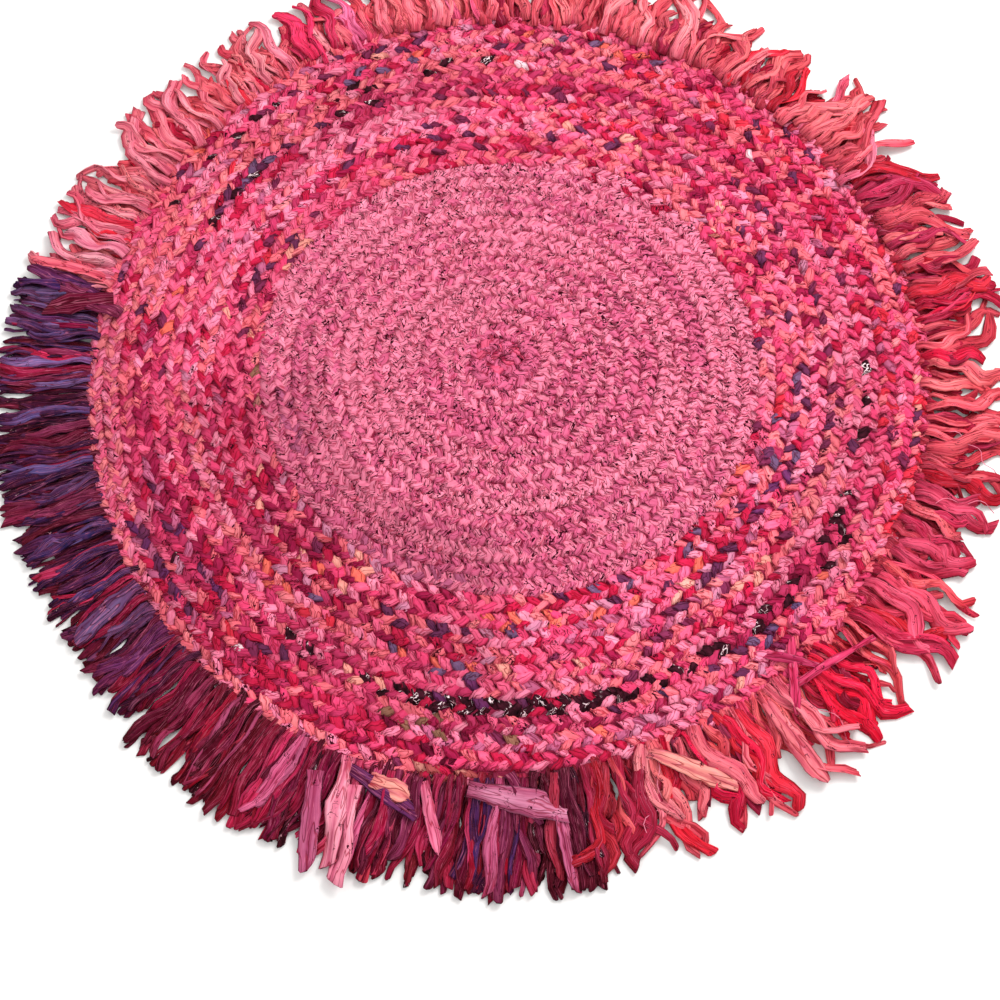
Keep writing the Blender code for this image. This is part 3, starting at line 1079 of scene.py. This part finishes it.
def strip_spine(rng, root, tip, bow, stations, bend):
    """Middle line of a strip in plan, and the sideways direction at each station."""
    share = np.linspace(0, 1, stations)
    start, end = np.array(root), np.array(tip)
    length = np.linalg.norm(end - start)
    along = (end - start) / length
    sideways = np.array([-along[1], along[0]])
    curve = bow * np.sin(math.pi * share ** rng.uniform(0.7, 1.3))
    winding = bend * length * wave(rng, share, 0.8, 1.9)
    middle = start + np.outer(share, end - start) + np.outer(curve + winding * share, sideways)
    heading = np.gradient(middle, axis=0)
    heading /= np.linalg.norm(heading, axis=1)[:, None]
    return share, length, middle, np.stack([-heading[:, 1], heading[:, 0]], axis=-1)


def strip_shape(rng, spine, rest, root_height, width, folds):
    """Rings of a crumpled strip, and how deep its pleats are."""
    share, length, middle, sideways = spine
    settle = eased((share - 0.08) / rng.uniform(0.25, 0.5))
    ripple = RIPPLE * wave(rng, share, 0.8, 2.4)
    height = root_height * (1 - settle) + (rest * (1 - 0.5 * share ** 2) + ripple) * settle
    height[0] -= ROOT_DIP
    opened = eased(share / rng.uniform(0.25, 0.6))
    closing = 1 - rng.uniform(*NARROWED_TIP) * eased((share - 0.75) / 0.25)
    knobs = np.array([rng.uniform(*KNOBS) for _ in share])
    half = width / 2 * (rng.uniform(*GATHERED_ROOT) * (1 - opened) + opened) * closing * knobs
    roll = rng.uniform(-MOST_ROLL, MOST_ROLL) * np.sin(
        math.pi * (share * rng.uniform(0.5, 2.0) + 0.1)
    )

    spread = np.linspace(-1, 1, STRIP_ACROSS)
    ridges = rng.uniform(1.0, 2.0 + 0.6 / (1 + width / 0.012))
    pleat = np.abs(np.cos(ridges * math.pi / 2 * spread[None, :] + rng.uniform(0, math.pi)
                          + rng.uniform(-PLEAT_DRIFT, PLEAT_DRIFT) * share[:, None]))
    depth = folds * width * rng.uniform(*PLEAT_DEPTH) * (1.2 - 0.4 * opened)
    rounded = np.sqrt(1 - 0.92 * spread ** 2)
    upper = depth[:, None] * (0.55 * pleat + 0.85 * rounded)
    across = np.outer(half, squared(spread, 0.85))
    lowest = upper.min(axis=1) - CLOTH_THICKNESS
    below = np.linspace(0.75, -0.75, STRIP_BELOW)
    wide = np.concatenate([across, np.outer(half, below)], axis=1)
    high = np.concatenate([upper, np.repeat(lowest[:, None], STRIP_BELOW, axis=1)], axis=1)

    turned_wide = wide * np.cos(roll)[:, None] - high * np.sin(roll)[:, None]
    turned_high = wide * np.sin(roll)[:, None] + high * np.cos(roll)[:, None]
    plan = middle[:, None, :] + turned_wide[..., None] * sideways[:, None, :]
    slant = rng.uniform(-MOST_SLANT, MOST_SLANT) * half[-1]
    rounding = rng.uniform(*END_ROUNDING) * half[-1]
    ends = np.concatenate([spread, below])
    forward = np.array([sideways[-1, 1], -sideways[-1, 0]])
    cut = slant * ends + rounding * (1 - 2 * ends ** 2) + 0.0008 * np.cos(9 * ends)
    plan[-1] += np.outer(cut, forward)
    rings = np.dstack([plan, height[:, None] + turned_high])
    rings[..., 2] += max(0.0, FLOOR_CLEARANCE - rings[..., 2].min())
    above = np.maximum(rings[..., 2] - FLATTENED_FROM, 0)
    room = TOP_LIMIT - FLATTENED_FROM
    rings[..., 2] += room * np.tanh(above / room) - above
    hollow = np.concatenate([1 - pleat, np.ones((len(share), STRIP_BELOW))], axis=1)
    return rings, hollow


def shaded(colour, light):
    """A dye in this much light: a rag is redder in the shade, and stays so where it is pale."""
    light = np.asarray(light)[..., None]
    bright = np.maximum(light, 1) ** np.array([1.0, 0.62, 0.72])
    return colour * bright * np.minimum(light, 1) ** np.array([0.72, 1.75, 1.25])


def dyed_and_shaded_strip(rng, share, hollow, colour, pleat_shade):
    """Colour of each point of a strip: its dye with painted shade, darker in its pleats and towards
    the root where it is gathered.
    """
    # Painted shade: darker towards the gathered root and in the pleats.
    root_shade = 0.70 + 0.30 * eased(share / 0.3)
    worn = 1 + 0.10 * wave(rng, share, 0.5, 1.5)
    light = (root_shade * worn)[:, None] * (1 - pleat_shade * hollow ** 1.5)
    return np.clip(shaded(colour, light), 0, 1)


def add_strip(run, root, tip, bow, rest, root_height, width, colour, bend, folds=1.0,
              pleat_shade=PLEAT_SHADE[1]):
    """One strip of the fringe."""
    rng = run.rng
    spine = strip_spine(rng, root, tip, bow, STRIP_STATIONS, bend)
    rings, hollow = strip_shape(rng, spine, rest, root_height, width, folds)
    dye = dyed_and_shaded_strip(rng, spine[0], hollow, colour, pleat_shade)
    printed = rng.random() < PRINTED_STRIPS and colour[0] > 0.5 and folds == 1
    marked = rng.uniform(0.3, 0.8) if printed else 0.0
    girth = 0.8 * width if folds < 1 else 2.2 * width
    add_tube(run.bm, run.strip, rings, dye, np.full(STRIP_STATIONS, marked), girth, spine[1],
             rng.uniform(0, 50))


def add_thread(run, clump_angle, size):
    """A frayed thread that lies across the strips of a clump."""
    rng = run.rng
    angle = clump_angle + rng.uniform(-0.4, 0.4) * size
    root = rim_point(math.radians(angle), rng.uniform(0.01, 0.04))
    aim = math.radians(angle + rng.uniform(-5, 5))
    tip = unit(aim) * (run.reach_to - rng.uniform(0.0, 0.03))
    share, length, middle, sideways = strip_spine(rng, root, tip, 0.012, THREAD_STATIONS, 0.08)
    coil = 0.004 * np.sin(TURN * share * rng.uniform(1.5, 3.0))
    middle = middle + sideways * coil[:, None]
    corner = np.arange(THREAD_SIDES) * TURN / THREAD_SIDES
    wide = THREAD_RADIUS * np.cos(corner)[None, :, None]
    height = THREAD_HEIGHT * (1 - 0.6 * share) + 0.002 * np.sin(TURN * share * 1.7)
    rings = np.dstack([middle[:, None, :] + wide * sideways[:, None, :],
                       height[:, None] + THREAD_RADIUS * np.sin(corner)[None, :]])
    add_tube(run.bm, run.thread, rings, np.tile(linear("blush"), (THREAD_STATIONS, 1)),
             np.zeros(THREAD_STATIONS), 0.003, length, rng.uniform(0, 50))


def fringe_light(angle):
    """How light or dark the fringe is at this angle: partly its wear, partly painted light and
    shade.
    """
    return [kept for start, kept in WORN_AND_SHADED_FRINGE if start <= math.degrees(angle) % 360][-1]


def stray_strip(run, root, direction, layer, bow):
    """One strip of a run at a given place and direction, in one of its dyes, with painted light and
    shade by its layer and area.
    """
    rng = run.rng
    rest, root_height, reach, tone = layer
    out = math.atan2(root.y, root.x)
    turned = (direction - out + math.pi) % TURN - math.pi
    length = (run.reach_to - root.length) * (reach * run.grown)
    length *= 1 - UNEVEN_REACH * rng.random() ** 2
    length = min(length / math.cos(turned * 0.85), LONGEST_STRIP)
    tip = np.array(root) + length * np.array([math.cos(direction), math.sin(direction)])
    dye = run.main if rng.random() < MAIN_DYE_SHARE else weighted(rng, run.mix)
    spread = UNLIKE[run.close]
    # Painted light and shade: by layer, darker below, and by area.
    light = tone * run.tone * fringe_light(out) * rng.uniform(1 - spread, 1 + spread)
    colour = np.clip(shaded(linear(dye) * run.tint, light), 0, 1)
    add_strip(run, root, tip, bow, rest + rng.uniform(0, 0.0025),
              root_height + rng.uniform(0, 0.002), run.width * rng.uniform(0.55, 1.65), colour,
              BEND[run.close], pleat_shade=PLEAT_SHADE[run.close])


def underlay(run, start, end):
    """The lowest strips of a clump, side by side under the rim."""
    rng = run.rng
    reach = (RIM_RADIUS + run.reach_to) / 2
    count = round(math.radians(end - start) * reach * UNDERLAY_COVER[run.close] / run.width)
    layer = (*UNDERLAY, UNDERLAY_REACH[run.close], UNDERLAY_SHADE[run.close])
    for number in range(count):
        run.main = weighted(rng, run.mix)
        angle = math.radians(start + (number + rng.random()) * (end - start) / count)
        root = rim_point(angle, rng.uniform(*UNDERLAY_ROOTS))
        direction = angle + math.radians(rng.uniform(-1, 1) * run.wander)
        stray_strip(run, root, direction, layer, rng.uniform(-0.006, 0.006))


def bunch(run, angle, span, bow):
    """Strips that leave the rim side by side and lie together towards their tips."""
    rng = run.rng
    run.main = weighted(rng, run.mix)
    reach = (RIM_RADIUS + run.reach_to) / 2
    count = max(4, round(math.radians(span) * reach * BUNCH_COVER[run.close] / run.width))
    order = list(range(count))
    rng.shuffle(order)
    sway = rng.uniform(-1, 1) * run.sway
    run.grown = rng.uniform(0.92, 1.05)
    gathered = GATHERED[run.pinch > 0]
    for number, place_across in enumerate(order):
        layer = number * len(LAYERS) // count
        across = 2 * (place_across + rng.random()) / count - 1
        start = math.radians(angle + across * gathered * span)
        over = run.over if layer == len(LAYERS) - 1 else LOWER_REACH
        root = rim_point(start, 0.002 - over * rng.uniform(0.4, 1.2))
        turned = sway - run.pinch * across + rng.uniform(-1, 1) * run.wander
        lean = bow - 0.0006 * turned + rng.uniform(-0.010, 0.010)
        stray_strip(run, root, start + math.radians(turned), LAYERS[layer], lean)


def clump_dyes(angle, dyes):
    """The dyes of the clump at this angle, in a run of these dyes."""
    for start, end, others in OTHER_DYES:
        if start < angle < end:
            return others
    return dyes


def fringe_run(templates, clumps, line):
    """One run of the fringe, bunch by bunch, with its lone strips and threads on top."""
    run = SimpleNamespace(**dict(zip(FRINGE_FIELDS, line)))
    run.strip, run.thread = templates
    run.rng = random.Random("fringe_" + run.name)
    run.bm = bmesh.new()
    run.grown = 1.0
    run.close = 0 <= run.pinch < 4
    run.tint = TINTS["close" if run.close else "fans" if run.pinch < 0 else "open"]
    size = (run.end - run.start) / run.clumps
    for middle, lean, bow in clumps:
        run.mix = clump_dyes(middle, run.dyes)
        underlay(run, middle - size / 2, middle + size / 2)
        for number in range(run.bunches):
            offset = ((number + 0.5) / run.bunches - 0.5) * size
            angle = middle + offset + 0.5 * lean + run.rng.uniform(-0.04, 0.04) * size
            bunch(run, angle, size / run.bunches, bow)
        if run.name in THREAD_RUNS:
            add_thread(run, middle, size)
    for owner, angle, beyond, tip_angle, tip_radius, width, height, dye in LONE_STRIPS:
        if owner == run.name:
            root = rim_point(math.radians(angle), beyond)
            tip = unit(math.radians(tip_angle)) * tip_radius
            height += LAID_OVER
            add_strip(run, root, tip, run.rng.uniform(-0.002, 0.002), height, height, width,
                      linear(dye), LONE_BEND, LONE_FOLDS)
    return run.bm


FRINGE_SLOTS = {
    **dict.fromkeys(("coral", "salmon"), "fringe_coral"),
    **dict.fromkeys(("navy", "lilac", "burgundy", "plum"), "fringe_dark"),
}


def fringe():
    """All the cloth strips round the rim, one piece for each run."""
    clumps = solid_clumps()
    templates = (grid_template(STRIP_STATIONS, STRIP_ACROSS + STRIP_BELOW),
                 grid_template(THREAD_STATIONS, THREAD_SIDES))
    pieces = []
    for line in FRINGE:
        name = line[0]
        bm = fringe_run(templates, clumps[name], line)
        pieces.append(finished_piece("strips_" + name, bm, FRINGE_CLOTH, "fringe_" + name))
    for template in templates:
        bpy.data.meshes.remove(template[0])
    return pieces


# The ground between the lobes -------------------------------------------------------------

GROUND_THICKNESS = 0.0016
GROUND_RIB = 0.0004
GROUND_STEPS = 48           # a turn


def ground():
    """The rags' inner folds, as a sheet between the lobes with a rib in each row; the valleys'
    painted shade darkens it, as the shaded gaps between the lobes.
    """
    rings = round((ALL_TURNS - 1) * GROUND_STEPS)
    bm = grid(rings, 2)
    for vert in bm.verts:
        turn = 1 + round((vert.co.x + 0.5) * rings) / GROUND_STEPS
        across = vert.co.y + 0.5
        inner = edge_radius(turn)
        radius = inner + (edge_radius(turn + 1) - inner) * across * width_kept(turn)
        plan = place(np.array(radius), np.array(START_ANGLE + turn * TURN))
        rib = GROUND_RIB if 0.25 < across < 0.75 else 0.0
        vert.co = (plan[0], plan[1], BRAID_THICKNESS / 2 + rib)
    bmesh.ops.remove_doubles(bm, verts=bm.verts, dist=1e-5)
    middle = [edge for edge in bm.edges
              if edge.is_boundary and edge.verts[0].co.xy.length < 3 * CENTRE_PITCH]
    bmesh.ops.contextual_create(bm, geom=middle)
    bmesh.ops.solidify(bm, geom=bm.faces, thickness=GROUND_THICKNESS)
    bmesh.ops.recalc_face_normals(bm, faces=bm.faces)
    mesh = mesh_of("inner_folds", bm)
    dye = mesh.attributes.new("dye", "FLOAT_COLOR", "POINT")
    dye.data.foreach_set("color", np.tile([*linear("raspberry"), 1], len(mesh.vertices)))
    mesh.attributes.new("print_amount", "FLOAT", "POINT")
    return dressed("inner_folds", mesh, BORDER_CLOTH)


# Floor, light and camera ------------------------------------------------------------------

LOOK_AT = Vector((-0.018, -0.191, 0.0))
CAMERA_ELEVATION = 66.3
CAMERA_DISTANCE = 3.047
CAMERA_ROLL = -2.3
CAMERA_LENS = 79.4


def camera():
    """The photograph's view of the rug."""
    data = bpy.data.cameras.new("camera")
    data.lens = CAMERA_LENS
    data.sensor_width = 36
    piece = set_up("camera", data)
    elevation = math.radians(CAMERA_ELEVATION)
    back = Vector((0, -math.cos(elevation), math.sin(elevation)))
    piece.location = LOOK_AT + back * CAMERA_DISTANCE
    facing = (-back).to_track_quat("-Z", "Y")
    rolled = facing @ Quaternion((0, 0, 1), math.radians(CAMERA_ROLL))
    piece.rotation_mode = "QUATERNION"
    piece.rotation_quaternion = rolled
    bpy.context.scene.camera = piece


def floor():
    """Plain pale floor."""
    bm = bmesh.new()
    bmesh.ops.create_grid(bm, x_segments=1, y_segments=1, size=6)
    mesh = mesh_of("floor", bm)
    mesh.materials.append(floor_material())
    set_up("floor", mesh)


def lamp(name, spot, aim, size, power, colour):
    """A square soft light."""
    data = bpy.data.lights.new(name, "AREA")
    data.size = size
    data.energy = power
    data.color = colour
    piece = set_up(name, data)
    piece.location = spot
    piece.rotation_mode = "QUATERNION"
    piece.rotation_quaternion = (Vector(aim) - Vector(spot)).to_track_quat("-Z", "Y")


SKY_COLOUR = (1.0, 0.98, 0.97, 1)
WINDOW_PLACE = (1.9, 1.6, 2.4)
WINDOW_SIZE = 1.6
WINDOW_POWER = 92


def light():
    """Soft daylight from the far right, with a bright plain sky."""
    world = bpy.data.worlds.new("sky")
    world.use_nodes = True
    sky = world.node_tree.nodes["Background"]
    sky.inputs["Color"].default_value = SKY_COLOUR
    sky.inputs["Strength"].default_value = 1.0
    bpy.context.scene.world = world
    lamp("window", WINDOW_PLACE, (0.1, 0, 0), WINDOW_SIZE, WINDOW_POWER, (1.0, 0.98, 0.96))
    bpy.context.scene.view_settings.view_transform = "Standard"


camera()
floor()
light()
braids = braid()
strips = fringe()
folds = ground()
